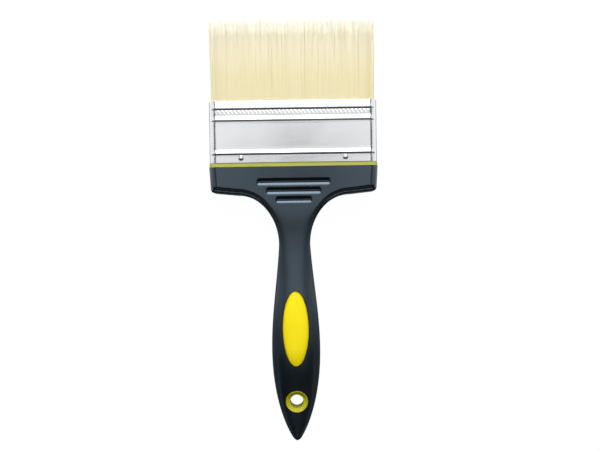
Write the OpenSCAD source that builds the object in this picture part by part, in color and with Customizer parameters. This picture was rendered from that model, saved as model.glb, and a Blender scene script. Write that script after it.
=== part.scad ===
// Flat paint brush lying on its back: width along X, bristles towards +Y, front face up

/* [Ferrule] */
// Outside width of the metal ferrule
ferrule_w = 100; // [70:1:130]
// Outside thickness of the ferrule
ferrule_t = 19; // [15:0.5:26]
// Length of the ferrule along the brush
ferrule_len = 36.5; // [34:0.5:50]
// Thickness of the sheet metal
sheet = 0.5; // [0.3:0.05:0.8]
// Outside corner radius of the ferrule
ferrule_r = 5; // [3:0.5:7]
// How far a pressed bead stands out of the sheet
bead_rise = 0.7; // [0.3:0.1:1]
// Width of a pressed bead along the brush
bead_w = 3.6; // [2.4:0.2:4.4]
// Share of its rise that a bead keeps at the narrow ends
bead_end_share = 0.35; // [0.1:0.05:1]
// Lowest bead, measured from the lower edge
bead_low = 6.4; // [6:0.1:9]
// Bead under the patterned band, measured down from the mouth
bead_mid = 10.6; // [10:0.1:13]
// Bead over the patterned band, measured down from the mouth
bead_high = 3.4; // [3:0.1:6]
// Rolled mouth, the middle of its roll below the mouth
lip_depth = 0.9; // [0.7:0.1:2]
// Height of the rolled mouth along the brush
lip_w = 1.6; // [1.2:0.1:3]

/* [Nails] */
// Distance between the two nails of one face
nail_gap = 62; // [30:1:80]
// Height of the nails over the lower edge of the ferrule
nail_up = 2.7; // [2.4:0.1:5]
// Diameter of a nail head
nail_head_d = 3.4; // [2.4:0.1:4]
// Height of a nail's dome
nail_dome = 1; // [0.6:0.1:1.4]
// Diameter of a nail shank
nail_shank_d = 1.4; // [1:0.1:2]
// Length of a nail under its head
nail_len = 6; // [4:0.5:6.5]

/* [Bristles] */
// Free length of the bristles over the mouth
bristle_out = 50; // [35:0.5:65]
// Strands across the width in each row
strand_columns = 60; // [40:1:68]
// Thickness of the slice of setting that a bundle stands in
slice_h = 2.5; // [1.5:0.5:4]
// How far the slices lie below the mouth
slice_depth = 1; // [0.5:0.5:3]
// Spread of the tips over the width, as a share of it
tip_spread = 0.022; // [0:0.002:0.04]
// Fullness at the waist over the thickness, as a share of it
waist_spread = 0.06; // [0:0.01:0.12]
// Narrowing of the tips over the thickness, as a share of it
tip_narrowing = 0.12; // [0:0.02:0.4]
// Unevenness of the tips
tip_scatter = 2.2; // [0:0.2:5]

/* [Setting] */
// Thickness of a spacer strip
spacer_t = 2.2; // [1.5:0.1:2.6]
// Length of a spacer strip along the brush
spacer_len = 16; // [10:0.5:17]
// Height of the resin block
setting_h = 18; // [16:0.5:19]

/* [Handle] */
// Length of the black handle under the collar
handle_len = 165; // [150:1:200]
// Height of the collar between ferrule and grip
collar_h = 2.5; // [1.5:0.1:5]
// How much wider than the ferrule the head is
head_over = 0.6; // [0.2:0.1:3]
// How far the head's plateau stands over the ferrule, both faces together
head_proud = 3; // [2:0.2:5]
// Narrowing of the head from its top to its lower corner, each side
head_taper = 0.8; // [0:0.1:3]
// Height of the head at its sides
head_h = 15.2; // [13:0.2:17]
// Radius of the head's lower corners
head_corner = 2.2; // [1:0.1:4]
// Radius of the long edges at the head's two ends
head_round = 5; // [3:0.5:7]
// Drop of the underside between the corner and the sweep into the neck
shoulder_drop = 1.4; // [0.5:0.1:3]
// Distance from the neck's side to the start of the sweep
sweep_w = 24.5; // [15:0.5:30]
// Place of the narrowest point of the neck, under the collar
neck_at = 46.6; // [40:0.5:52]
// Width at the neck
neck_w = 18.8; // [17:0.1:24]
// Thickness at the neck
neck_t = 17; // [15:0.5:21]
// Place of the widest point of the grip, under the collar
belly_at = 109; // [100:1:115]
// Width at the belly
belly_w = 29.1; // [25:0.1:36]
// Thickness at the belly
belly_t = 22; // [19:0.5:26]
// Thickness at the hang hole
hole_t = 13.4; // [12.5:0.1:16]
// Thickness at the tip
tip_t = 7.5; // [6:0.1:10]
// Radius of the tip
tip_r = 2.2; // [1.5:0.1:3]
// Depth of the step between the edge ledge and the plateau
ledge_step = 1.4; // [0.6:0.1:2]
// Distance from the outline to the top of the step
ledge_in = 3.3; // [2.6:0.1:5]

/* [Grip details] */
// Height of a cross groove
groove_h = 4.4; // [3:0.1:4.8]
// Depth of a cross groove
groove_deep = 1.5; // [0.8:0.1:1.8]
// Distance between neighbouring grooves
groove_step = 5.4; // [5.1:0.1:6]
// Place of the first groove under the collar
groove_at = 9; // [7.5:0.1:9.5]
// Length of the longest groove
groove_long = 44; // [40:1:60]
// Length lost from one groove to the next
groove_less = 11; // [6:0.2:12]
// Place of the oval pad's middle, under the collar
pad_at = 96.5; // [92:0.5:104]
// Width of the oval pad
pad_w = 15.4; // [10:0.1:18]
// Length of the oval pad
pad_len = 43.5; // [34:0.5:50]
// Shadow gap between a pad and its window
window_gap = 0.25; // [0.1:0.05:0.5]

/* [Hang hole] */
// Distance from the hole's middle to the tip
hole_to_tip = 24.4; // [21:0.1:26]
// Diameter of the hole's throat
hole_d = 8; // [5:0.1:9]
// Outside diameter of the ring round the hole
ring_d = 13.6; // [11:0.1:14]
// Length of the straight throat
throat_len = 9.6; // [3:0.1:10]

/* [Fits] */
// Gap between the ferrule's inside and what is set in it
set_fit = 0.05; // [0.02:0.01:0.1]
// Gap between the free bristles and the ferrule's inside
bristle_fit = 0.3; // [0.2:0.05:0.5]
// Gap between a bundle and the setting and spacers next to it
bundle_fit = 0.15; // [0.1:0.05:0.3]
// Gap between a nail shank and its holes
nail_fit = 0.05; // [0.02:0.01:0.1]
// Depth of the tenon in the ferrule
tenon_len = 12; // [9:0.5:13]
// Thickness of the overmould at the sides of the core
grip_wall = 3.4; // [3:0.1:4]
// Thickness of the core's flat spine
spine_t = 7; // [5:0.5:8]

/* [Hidden] */
$fn = 48;

// Shared frame: the middle of the part's box is at X = Y = 0, and the back of the head lies on Z = 0
tip_y = -collar_h - handle_len;
mouth_y = ferrule_len;
end_y = mouth_y + bristle_out;
shift_y = -(tip_y + end_y) / 2;
head_t = ferrule_t + head_proud;
lift_z = max(head_t, belly_t) / 2;

// Inside of the ferrule
inner_w = ferrule_w - 2 * sheet;
inner_t = ferrule_t - 2 * sheet;
inner_r = ferrule_r - sheet;
core_w = inner_w - 2 * set_fit;
core_t = inner_t - 2 * set_fit;
pack_w = inner_w - 2 * bristle_fit;
pack_t = inner_t - 2 * bristle_fit;
pack_r = max(inner_r - bristle_fit, 0.5);
bundle_t = (pack_t - 2 * spacer_t) / 3;
slice_top = mouth_y - slice_depth;
slice_low = slice_top - slice_h;
setting_low = max(slice_low - setting_h, tenon_len + 0.5);
spacer_low = max(slice_top - spacer_len, setting_low + 1);

// Handle outline, as half width over distance below the collar
head_w = ferrule_w + head_over;
neck_half = neck_w / 2;
belly_half = belly_w / 2;
corner_x = head_w / 2 - head_taper;
sweep_x = neck_half + sweep_w;
sweep_at = head_h + shoulder_drop;
hole_at = handle_len - hole_to_tip;
tail_len = handle_len - belly_at;
tail_power = 2.15;
tail_fall = 0.78;
tail_stretch = 1.02;
neck_slope = 0.75;
grip_power = 2.3;
side_rows = 3;
corner_rows = 5;
shoulder_rows = 3;
sweep_rows = 13;
grip_rows = 13;
tail_rows = 18;
quarter_points = 11;
ledge_points = 6;

// Curves
function mix(a, b, s) = a + (b - a) * s;
function ease(s) = let(c = min(max(s, 0), 1)) c * c * (3 - 2 * c);
function hermite(a, b, slope_a, slope_b, s) =
    (2 * s * s * s - 3 * s * s + 1) * a + (s * s * s - 2 * s * s + s) * slope_a
    + (3 * s * s - 2 * s * s * s) * b + (s * s * s - s * s) * slope_b;
function power(v, p) = v <= 0 ? 0 : pow(v, p);

// Half thickness of the handle at a distance below the collar
function half_t(u) =
    u <= sweep_at ? head_t / 2
    : u <= neck_at ? mix(head_t / 2, neck_t / 2, ease((u - sweep_at) / (neck_at - sweep_at)))
    : u <= belly_at ? mix(neck_t / 2, belly_t / 2, ease((u - neck_at) / (belly_at - neck_at)))
    : u <= hole_at ? hermite(belly_t / 2, hole_t / 2, 0, -tail_drop, (u - belly_at) / (hole_at - belly_at))
    : hermite(hole_t / 2, tip_t / 2, -tail_drop * hole_to_tip / (hole_at - belly_at), -tip_drop,
              (u - hole_at) / hole_to_tip);
tail_drop = 0.9 * (belly_t - hole_t) / 2;
tip_drop = 0.5 * (hole_t - tip_t) / 2;

// Roundness of the last bit of the tip
function tip_round(u) =
    let(into = u - (handle_len - tip_r))
    into <= 0 ? 1 : sqrt(1 - 0.97 * min(into / tip_r, 1) * min(into / tip_r, 1));

// Half width of the grip below the neck
function grip_half(u) =
    u <= belly_at
    ? mix(neck_half, belly_half, hermite(0, 1, neck_slope, 0, (u - neck_at) / (belly_at - neck_at)))
    : let(s = (u - belly_at) / (tail_len * tail_stretch))
      belly_half * power(1 - pow(s, tail_power), tail_fall) * tip_round(u);

// Rows of the half outline, drawn in by a distance: each row is [half width, distance below the collar]
function outline(inset) =
    let(r = max(head_corner - inset, 0.4))
    let(cx = corner_x - inset - r)
    let(cu = head_h - inset - r)
    concat(
        [for (k = [0:side_rows - 1])
            let(s = k / side_rows)
            [mix(head_w / 2 - inset, corner_x - inset, s), s * cu]],
        [for (k = [0:corner_rows - 1])
            let(a = 86 * k / (corner_rows - 1))
            [cx + r * cos(a), cu + r * sin(a)]],
        [for (k = [1:shoulder_rows - 1])
            let(s = k / shoulder_rows)
            [mix(cx + r * cos(86), sweep_x, s), mix(cu + r * sin(86), sweep_at - inset, s)]],
        [for (k = [0:sweep_rows - 1])
            let(a = 90 * k / sweep_rows)
            [sweep_x - (sweep_w + inset) * sin(a),
             neck_at - (neck_at - sweep_at + inset) * cos(a)]],
        [for (k = [0:grip_rows - 1])
            let(u = mix(neck_at, belly_at, k / grip_rows))
            [grip_half(u) - inset, u]],
        [for (k = [0:tail_rows])
            let(u = belly_at + tail_len * (1 - pow(1 - k / tail_rows, 1.35)))
            [max(grip_half(u) - inset, 0), u]]);

// One quarter of a section, from the parting line to the middle of the face: round edges at the head's two ends
// turn into a ledge and a step at its lower corners
ledge_z = head_t / 2 - ledge_step;
edge_insets = [0, 0, 0.35, 1, 1.6, ledge_in];
edge_heights = [0, ledge_z - 1.2, ledge_z - 0.3, ledge_z, ledge_z + 0.05, head_t / 2];
round_turns = [for (j = [1:ledge_points - 1]) 90 * (j - 1) / (ledge_points - 2)];
round_insets = concat([0], [for (a = round_turns) head_round * (1 - cos(a))]);
round_heights = concat([0], [for (a = round_turns) head_t / 2 - head_round * (1 - sin(a))]);
edge_rows = [for (inset = edge_insets) outline(inset)];
round_rows = [for (inset = round_insets) outline(inset)];
function ledge_share(i) = ease((i - side_rows) / (corner_rows - 1));
row_count = len(edge_rows[0]);
function blend_at(u) = ease((u - sweep_at - 2) / (0.75 * (neck_at - sweep_at)));
function edge_point(i, j) =
    let(f = ledge_share(i))
    let(p = mix(round_rows[j][i], edge_rows[j][i], f))
    [p[0], p[1], mix(round_heights[j], edge_heights[j], f)];
function head_point(i, j) =
    j < ledge_points
    ? edge_point(i, j)
    : let(s = 1 - (j - ledge_points + 1) / (quarter_points - ledge_points))
      let(p = edge_point(i, ledge_points - 1))
      [p[0] * s, p[1], p[2]];
function grip_point(i, j) =
    let(u = edge_rows[0][i][1])
    let(a = 90 * j / (quarter_points - 1))
    [edge_rows[0][i][0] * power(cos(a), 2 / grip_power), u,
     half_t(u) * tip_round(u) * power(sin(a), 2 / grip_power)];
function quarter_point(i, j) =
    let(b = blend_at(edge_rows[0][i][1]))
    let(p = head_point(i, j) * (1 - b) + grip_point(i, j) * b)
    [p[0], -collar_h - p[1], p[2]];
last = quarter_points - 1;
function section(i) = concat(
    [for (j = [0:last]) quarter_point(i, j)],
    [for (j = [last - 1:-1:0]) let(p = quarter_point(i, j)) [-p[0], p[1], p[2]]],
    [for (j = [1:last]) let(p = quarter_point(i, j)) [-p[0], p[1], -p[2]]],
    [for (j = [last - 1:-1:1]) let(p = quarter_point(i, j)) [p[0], p[1], -p[2]]]);

// Height of the grip's face over its middle plane
function face_z(x, u) =
    half_t(u) * power(1 - power(abs(x) / grip_half(u), grip_power), 1 / grip_power);

// Skin over rings of equal length, closed at each end by triangles round the ring's middle
function middle(ring, i = 0) = i == len(ring) ? [0, 0, 0] : ring[i] / len(ring) + middle(ring, i + 1);
module loft(rings) {
    n = len(rings);
    m = len(rings[0]);
    skin = [for (i = [0:n - 2], j = [0:m - 1], half = [0, 1])
        let(k = (j + 1) % m)
        half == 0 ? [i * m + j, i * m + k, (i + 1) * m + k] : [i * m + j, (i + 1) * m + k, (i + 1) * m + j]];
    cap_first = [for (j = [0:m - 1]) [n * m, (j + 1) % m, j]];
    cap_last = [for (j = [0:m - 1]) [n * m + 1, (n - 1) * m + j, (n - 1) * m + (j + 1) % m]];
    points = concat([for (ring = rings, p = ring) p], [middle(rings[0]), middle(rings[n - 1])]);
    polyhedron(points = points, faces = concat(skin, cap_first, cap_last));
}

// Skin over rings of equal length whose last ring joins the first again
module sleeve(rings) {
    n = len(rings);
    m = len(rings[0]);
    skin = [for (i = [0:n - 1], j = [0:m - 1], half = [0, 1])
        let(k = (j + 1) % m)
        let(q = (i + 1) % n)
        half == 0 ? [i * m + j, i * m + k, q * m + k] : [i * m + j, q * m + k, q * m + j]];
    polyhedron(points = [for (ring = rings, p = ring) p], faces = skin);
}

module place() {
    translate([0, shift_y, lift_z])
        children();
}

// Rounded rectangle in width and thickness, its corners cut as the ferrule's are so that the fits stay even
module round_rect(w, t, r) {
    polygon([for (p = rect_ring(w, t, r, 0, 0)) [p[0], p[2]]]);
}

// Upright block with a rounded section between two heights along the brush
module round_block(w, t, r, low, high) {
    translate([0, high, 0])
        rotate([90, 0, 0])
            linear_extrude(high - low)
                round_rect(w, t, r);
}

// Ring of points round a rounded rectangle, from the front face over the left end to the back and the right end
corner_steps = 4;
function rect_ring(w, t, r, rise, y) = [
    for (corner = [0:3], k = [0:corner_steps])
        let(a = 90 * corner + 90 * k / corner_steps)
        let(sx = (corner == 0 || corner == 3) ? 1 : -1)
        let(sz = corner < 2 ? 1 : -1)
        let(out = rise * mix(bead_end_share, 1, abs(sin(a))))
        [sx * (w / 2 - r) + (r + out) * cos(a), y, sz * (t / 2 - r) + (r + out) * sin(a)]];

// Pressed beads and rolled mouth, as [middle, width], kept clear of the nails and of each other
bead_clear = 0.15;
high_w = bead_w - 0.6;
low_at = max(bead_low, nail_up + nail_head_d / 2 + bead_w / 2 + bead_clear);
lip_at = max(lip_depth, lip_w / 2 + 0.05);
high_at = max(bead_high, lip_at + lip_w / 2 + high_w / 2 + bead_clear);
mid_at = max(bead_mid, high_at + high_w / 2 + 2 + bead_w / 2);
beads = [[low_at, bead_w], [mouth_y - mid_at, bead_w], [mouth_y - high_at, high_w], [mouth_y - lip_at, lip_w]];
bead_shape = [[-1, 0], [-0.6, 0.4], [-0.25, 0.92], [0.25, 0.92], [0.6, 0.4], [1, 0]];
bead_stations = [for (bead = beads, s = bead_shape) [bead[0] + s[0] * bead[1] / 2, s[1] * bead_rise]];
wall_stations = concat([[0, 0]], bead_stations, [[mouth_y, 0]]);

// Places of the four nails, as [side across the width, face]
nail_places = [for (sx = [-1, 1], face = [1, -1]) [sx * nail_gap / 2, face]];

module at_nails() {
    for (p = nail_places)
        translate([p[0], nail_up, p[1] * ferrule_t / 2])
            rotate([p[1] > 0 ? 0 : 180, 0, 0])
                children();
}

module ferrule() {
    n = len(wall_stations);
    outer = [for (s = wall_stations) rect_ring(ferrule_w, ferrule_t, ferrule_r, s[1], s[0])];
    inner = [for (i = [n - 1:-1:0])
        rect_ring(inner_w, inner_t, inner_r, wall_stations[i][1], wall_stations[i][0])];
    color([0.82, 0.83, 0.84])
        place()
            difference() {
                sleeve(concat(outer, inner));
                at_nails()
                    translate([0, 0, -2 * sheet])
                        cylinder(d = nail_shank_d + 2 * nail_fit, h = 4 * sheet);
            }
}

module ferrule_nails() {
    dome_r = (nail_head_d * nail_head_d / 4 + nail_dome * nail_dome) / (2 * nail_dome);
    color([0.7, 0.71, 0.72])
        place()
            at_nails() {
                intersection() {
                    translate([0, 0, nail_dome - dome_r])
                        sphere(r = dome_r);
                    cylinder(d = nail_head_d, h = nail_dome);
                }
                translate([0, 0, -nail_len])
                    cylinder(d = nail_shank_d, h = nail_len + nail_dome / 3);
            }
}

module resin_setting() {
    color([0.62, 0.5, 0.3])
        place()
            difference() {
                round_block(core_w, core_t, inner_r - set_fit, setting_low, slice_low);
                spacer_solid(1);
                spacer_solid(-1);
            }
}

// Spacer strips stand between the bundles
spacer_z = bundle_t / 2 + spacer_t / 2;
spacer_side_gap = 4;
module spacer_solid(side) {
    translate([0, (spacer_low + slice_top) / 2, side * spacer_z])
        cube([pack_w - 2 * spacer_side_gap, slice_top - spacer_low, spacer_t], center = true);
}

module spacer_strip_front() {
    color([0.75, 0.66, 0.5])
        place()
            spacer_solid(1);
}

module spacer_strip_rear() {
    color([0.75, 0.66, 0.5])
        place()
            spacer_solid(-1);
}

// Half width of the bristle pack at a height over its middle plane
function pack_half(z) =
    let(over = max(abs(z) - (pack_t / 2 - pack_r), 0))
    pack_w / 2 - pack_r + sqrt(max(pack_r * pack_r - over * over, 0));

// Strands of one bundle: three-sided, tapered, standing on a slice of setting
strand_rows = 2;
strand_share = 0.8;
waist_at = 0.45;
corner_fall = 1.6;
module bundle(z_low, z_high, seed) {
    columns = strand_columns;
    strands = columns * strand_rows;
    scatter = rands(0, 1, strands, seed);
    per_strand = 9;
    grid_points = (columns + 1) * (strand_rows + 1);
    function grid_z(j) = mix(z_low, z_high, j / strand_rows);
    function grid_x(i, j) = pack_half(grid_z(j)) * (2 * i / columns - 1);
    function grid_id(i, j) = j * (columns + 1) + i;
    function rim_id(i, j) =
        j == 0 ? i : j == strand_rows ? columns + 1 + i
        : 2 * (columns + 1) + 2 * (j - 1) + (i == 0 ? 0 : 1);
    rim = concat([for (i = [0:columns]) [i, 0]], [for (i = [0:columns]) [i, strand_rows]],
                 [for (j = [1:strand_rows - 1], i = [0, columns]) [i, j]]);
    low_start = grid_points + strands * per_strand;
    function strand_id(i, j) = grid_points + (j * columns + i) * per_strand;
    function cell(i, j) = [grid_x(i, j), grid_x(i + 1, j), grid_x(i, j + 1), grid_x(i + 1, j + 1)];
    function foot(i, j, k) =
        let(c = cell(i, j))
        let(mid_x = (c[0] + c[1] + c[2] + c[3]) / 4)
        let(mid_z = (grid_z(j) + grid_z(j + 1)) / 2)
        let(half_z = (grid_z(j + 1) - grid_z(j)) / 2 * strand_share)
        let(half_x = (c[1] - c[0] + c[3] - c[2]) / 4 * strand_share)
        [mid_x, mid_z, k == 2 ? 0 : (k == 0 ? -half_x : half_x), k == 2 ? half_z : -half_z];
    function strand_point(i, j, ring, k) =
        let(f = foot(i, j, k))
        let(fall = corner_fall * pow(abs(2 * (i + 0.5) / columns - 1), 8))
        let(drop = (i == floor(columns / 2) && j == 0) ? 0 : tip_scatter * scatter[j * columns + i] + fall)
        let(tip = end_y - drop)
        ring == 0 ? [f[0] + f[2], slice_top, f[1] + f[3]]
        : ring == 1
        ? [(f[0] + 0.95 * f[2]) * (1 + tip_spread / 2), mix(mouth_y, tip, waist_at),
           (f[1] + 0.95 * f[3]) * (1 + waist_spread)]
        : [f[0] * (1 + tip_spread) + 0.3 * f[2], tip, f[1] * (1 - tip_narrowing) + 0.3 * f[3]];
    points = concat(
        [for (j = [0:strand_rows], i = [0:columns]) [grid_x(i, j), slice_top, grid_z(j)]],
        [for (j = [0:strand_rows - 1], i = [0:columns - 1], ring = [0:2], k = [0:2])
            strand_point(i, j, ring, k)],
        [for (r = rim) [grid_x(r[0], r[1]), slice_low + bundle_fit, grid_z(r[1])]]);
    frames = [for (j = [0:strand_rows - 1], i = [0:columns - 1], f = [0:6])
        let(a = grid_id(i, j))
        let(b = grid_id(i + 1, j))
        let(c = grid_id(i + 1, j + 1))
        let(d = grid_id(i, j + 1))
        let(s = strand_id(i, j))
        [[a, b, s], [b, s + 1, s], [b, c, s + 1], [c, s + 2, s + 1], [c, d, s + 2], [d, a, s], [d, s, s + 2]][f]];
    sides = [for (j = [0:strand_rows - 1], i = [0:columns - 1], ring = [0, 1], k = [0:2], half = [0, 1])
        let(s = strand_id(i, j) + 3 * ring)
        let(n = (k + 1) % 3)
        half == 0 ? [s + k, s + n, s + 3 + n] : [s + k, s + 3 + n, s + 3 + k]];
    ends = [for (j = [0:strand_rows - 1], i = [0:columns - 1])
        let(s = strand_id(i, j) + 6)
        [s, s + 1, s + 2]];
    loop = concat([for (i = [0:columns]) [i, 0]], [for (j = [1:strand_rows]) [columns, j]],
                  [for (i = [columns - 1:-1:0]) [i, strand_rows]], [for (j = [strand_rows - 1:-1:1]) [0, j]]);
    walls = [for (k = [0:len(loop) - 1], half = [0, 1])
        let(p = loop[k])
        let(q = loop[(k + 1) % len(loop)])
        half == 0 ? [low_start + rim_id(p[0], p[1]), low_start + rim_id(q[0], q[1]), grid_id(q[0], q[1])]
        : [low_start + rim_id(p[0], p[1]), grid_id(q[0], q[1]), grid_id(p[0], p[1])]];
    base = [[for (k = [len(loop) - 1:-1:0]) low_start + rim_id(loop[k][0], loop[k][1])]];
    polyhedron(points = points, faces = concat(frames, sides, ends, walls, base));
}

module bristle_bundle_front() {
    color([0.95, 0.9, 0.74])
        place()
            bundle(spacer_z + spacer_t / 2 + bundle_fit, pack_t / 2, 11);
}

module bristle_bundle_middle() {
    color([0.94, 0.89, 0.72])
        place()
            bundle(-bundle_t / 2 + bundle_fit, bundle_t / 2 - bundle_fit, 12);
}

module bristle_bundle_rear() {
    color([0.95, 0.9, 0.74])
        place()
            bundle(-pack_t / 2, -spacer_z - spacer_t / 2 - bundle_fit, 13);
}

// Outline of the flat spine inside the grip
spine_end = hole_at + ring_d / 2 + 2;
spine_insets = outline(grip_wall);
spine_half = concat(
    [for (p = spine_insets) if (p[1] < spine_end - 3) [p[0], -collar_h - p[1]]],
    [[max(grip_half(spine_end) - grip_wall, 1), -collar_h - spine_end]]);
module spine() {
    translate([0, 0, -spine_t / 2])
        linear_extrude(spine_t)
            polygon(concat([for (i = [len(spine_half) - 1:-1:0]) spine_half[i]],
                           [[spine_half[0][0], 0], [-spine_half[0][0], 0]],
                           [for (p = spine_half) [-p[0], p[1]]]));
}

// Oval pad that shows in the grip, following the grip's face
pad_steps = 40;
pad_levels = [1, 0.8, 0.55, 0.28];
pad_clear = 6;
pad_mid = min(pad_at, hole_at - ring_d / 2 - pad_clear - pad_len / 2);
pad_y = -collar_h - pad_mid;
function oval(grow, share, a) =
    [(pad_w / 2 + grow) * share * cos(a), (pad_len / 2 + grow) * share * sin(a)];
function pad_z(p) = face_z(p[0], pad_mid - p[1]) - pad_sink;
pad_sink = 0.15;
module pad(side) {
    mirror([0, 0, side > 0 ? 0 : 1])
        translate([0, pad_y, 0])
            loft(concat(
                [[for (k = [0:pad_steps - 1])
                    let(p = oval(0, 1, -360 * k / pad_steps))
                    [p[0], p[1], spine_t / 2 - 1]]],
                [for (level = pad_levels)
                    [for (k = [0:pad_steps - 1])
                        let(p = oval(0, level, -360 * k / pad_steps))
                        [p[0], p[1], pad_z(p)]]]));
}

module pad_window() {
    for (side = [0, 1])
        mirror([0, 0, side])
            translate([0, pad_y, spine_t / 2])
                linear_extrude(belly_t)
                    polygon([for (k = [0:pad_steps - 1]) oval(window_gap, 1, 360 * k / pad_steps)]);
}

// Ring round the hang hole: a straight throat that flares to both faces
hole_y = -collar_h - hole_at;
ring_top = face_z(ring_d / 2, hole_at) - 0.1;
ring_rim = 0.6;
module hang_ring() {
    translate([0, hole_y, 0])
        rotate_extrude()
            polygon([[hole_d / 2, -throat_len / 2], [ring_d / 2 - ring_rim, -ring_top], [ring_d / 2, -ring_top],
                     [ring_d / 2, ring_top], [ring_d / 2 - ring_rim, ring_top], [hole_d / 2, throat_len / 2]]);
}

module hole_through(d) {
    translate([0, hole_y, -head_t])
        cylinder(d = d, h = 2 * head_t);
}

module tenon() {
    round_block(core_w, core_t, inner_r - set_fit, -0.5, tenon_len);
}

collar_in = 0.1;
collar_bevel = 0.9;
module collar() {
    full_w = head_w - 2 * collar_in;
    full_t = head_t - 2 * ledge_step - 2 * collar_in;
    round_block(full_w, full_t, ferrule_r, -collar_h, -collar_bevel);
    loft([for (inset = [0, collar_bevel])
        rect_ring(full_w - 2 * inset, full_t - 2 * inset, ferrule_r - inset, 0, inset - collar_bevel)]);
}

module handle_core() {
    color([0.93, 0.82, 0.1])
        place()
            difference() {
                union() {
                    tenon();
                    collar();
                    difference() {
                        spine();
                        hole_through(ring_d - 1);
                    }
                    pad(1);
                    pad(-1);
                    hang_ring();
                }
                at_nails()
                    translate([0, 0, -nail_len - 1])
                        cylinder(d = nail_shank_d + 2 * nail_fit, h = nail_len + 2);
            }
}

// Cross grooves on the head, on both faces
module grooves() {
    r = (groove_h * groove_h / 4 + groove_deep * groove_deep) / (2 * groove_deep);
    for (k = [0:2], side = [-1, 1])
        translate([0, -collar_h - groove_at - k * groove_step, side * (head_t / 2 - groove_deep + r)])
            rotate([0, 90, 0])
                cylinder(r = r, h = groove_long - k * groove_less, center = true);
}

module handle_grip() {
    color([0.09, 0.1, 0.11])
        place()
            difference() {
                loft([for (i = [row_count - 1:-1:0]) section(i)]);
                spine();
                pad_window();
                hole_through(ring_d + 2 * window_gap);
                grooves();
            }
}

handle_core();
handle_grip();
ferrule();
ferrule_nails();
resin_setting();
spacer_strip_front();
spacer_strip_rear();
bristle_bundle_front();
bristle_bundle_middle();
bristle_bundle_rear();
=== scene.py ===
import math

import bmesh
import bpy
import numpy as np
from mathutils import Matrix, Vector


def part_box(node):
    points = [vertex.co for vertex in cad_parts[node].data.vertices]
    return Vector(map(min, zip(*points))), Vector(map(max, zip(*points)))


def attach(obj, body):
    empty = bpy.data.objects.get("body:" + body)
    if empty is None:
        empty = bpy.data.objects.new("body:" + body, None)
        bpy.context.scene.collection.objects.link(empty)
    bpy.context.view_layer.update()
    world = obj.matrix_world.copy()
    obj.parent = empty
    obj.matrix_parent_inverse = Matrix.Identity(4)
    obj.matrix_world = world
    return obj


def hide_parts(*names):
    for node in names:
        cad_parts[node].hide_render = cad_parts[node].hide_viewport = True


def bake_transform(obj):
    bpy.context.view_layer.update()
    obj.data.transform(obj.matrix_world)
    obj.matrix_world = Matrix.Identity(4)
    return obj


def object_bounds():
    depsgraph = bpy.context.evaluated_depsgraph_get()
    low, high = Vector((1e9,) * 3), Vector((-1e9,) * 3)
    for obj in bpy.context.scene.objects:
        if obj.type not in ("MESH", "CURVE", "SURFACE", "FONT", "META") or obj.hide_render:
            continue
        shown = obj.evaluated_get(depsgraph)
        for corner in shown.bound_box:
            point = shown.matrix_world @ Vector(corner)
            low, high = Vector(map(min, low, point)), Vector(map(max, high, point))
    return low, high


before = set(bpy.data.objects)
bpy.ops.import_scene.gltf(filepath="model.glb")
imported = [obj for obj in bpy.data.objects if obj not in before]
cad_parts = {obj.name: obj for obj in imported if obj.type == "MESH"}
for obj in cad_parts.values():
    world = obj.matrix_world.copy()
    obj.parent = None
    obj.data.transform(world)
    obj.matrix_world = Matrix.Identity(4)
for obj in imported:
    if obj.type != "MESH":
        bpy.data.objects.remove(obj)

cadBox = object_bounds()
mm = 0.001
weldReach = 1e-7  # points nearer than this are one point
sliverSize = 0.005 * mm  # cut faces thinner than this are melted away
ferruleLow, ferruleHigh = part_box("ferrule")
gripLow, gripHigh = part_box("handle_grip")
midZ = (gripLow.z + gripHigh.z) / 2  # parting plane of the handle
collarLow = gripHigh.y  # black handle ends here, the collar starts
ferruleFoot = ferruleLow.y
mouthY = ferruleHigh.y
tipsY = cadBox[1].y
print("frame loaded, parting plane at", round(midZ / mm, 2), "mm")


# Small helpers for modelling

def clearSelection():
    if bpy.context.object and bpy.context.object.mode != "OBJECT":
        bpy.ops.object.mode_set(mode="OBJECT")
    bpy.ops.object.select_all(action="DESELECT")


def pickOnly(*pieces):
    clearSelection()
    for piece in pieces:
        piece.select_set(True)
    bpy.context.view_layer.objects.active = pieces[0]


def namePiece(name):
    piece = bpy.context.object
    piece.name = name
    piece.data.name = name
    return piece


def editAll():
    bpy.ops.object.mode_set(mode="EDIT")
    bpy.ops.mesh.select_all(action="SELECT")


def faceOutward():
    bpy.ops.mesh.select_all(action="SELECT")
    bpy.ops.mesh.normals_make_consistent(inside=False)
    bpy.ops.object.mode_set(mode="OBJECT")


def closeMesh(caps):
    editAll()
    bpy.ops.mesh.remove_doubles(threshold=weldReach)
    if caps:
        bpy.ops.mesh.fill_holes(sides=0)
    faceOutward()


# A grid rolled up so that its columns run round each ring of points
def rollGrid(name, rings, endless=False):
    rings = np.concatenate([rings, rings[:, :1]], axis=1)
    if endless:
        rings = np.concatenate([rings, rings[:1]], axis=0)
    rows, columns = rings.shape[:2]
    clearSelection()
    bpy.ops.mesh.primitive_grid_add(x_subdivisions=columns - 1, y_subdivisions=rows - 1)
    piece = namePiece(name)
    piece.data.vertices.foreach_set("co", rings.astype(np.float32).ravel())
    piece.data.update()
    closeMesh(caps=not endless)
    return piece


def applyModifier(piece, kind, **settings):
    pickOnly(piece)
    modifier = piece.modifiers.new(kind.lower(), kind)
    for key, value in settings.items():
        setattr(modifier, key, value)
    bpy.ops.object.modifier_apply(modifier=modifier.name)


def cutAway(piece, cutter, operation="DIFFERENCE"):
    applyModifier(piece, "BOOLEAN", operation=operation, solver="EXACT", object=cutter)
    bpy.data.objects.remove(cutter)


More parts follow.
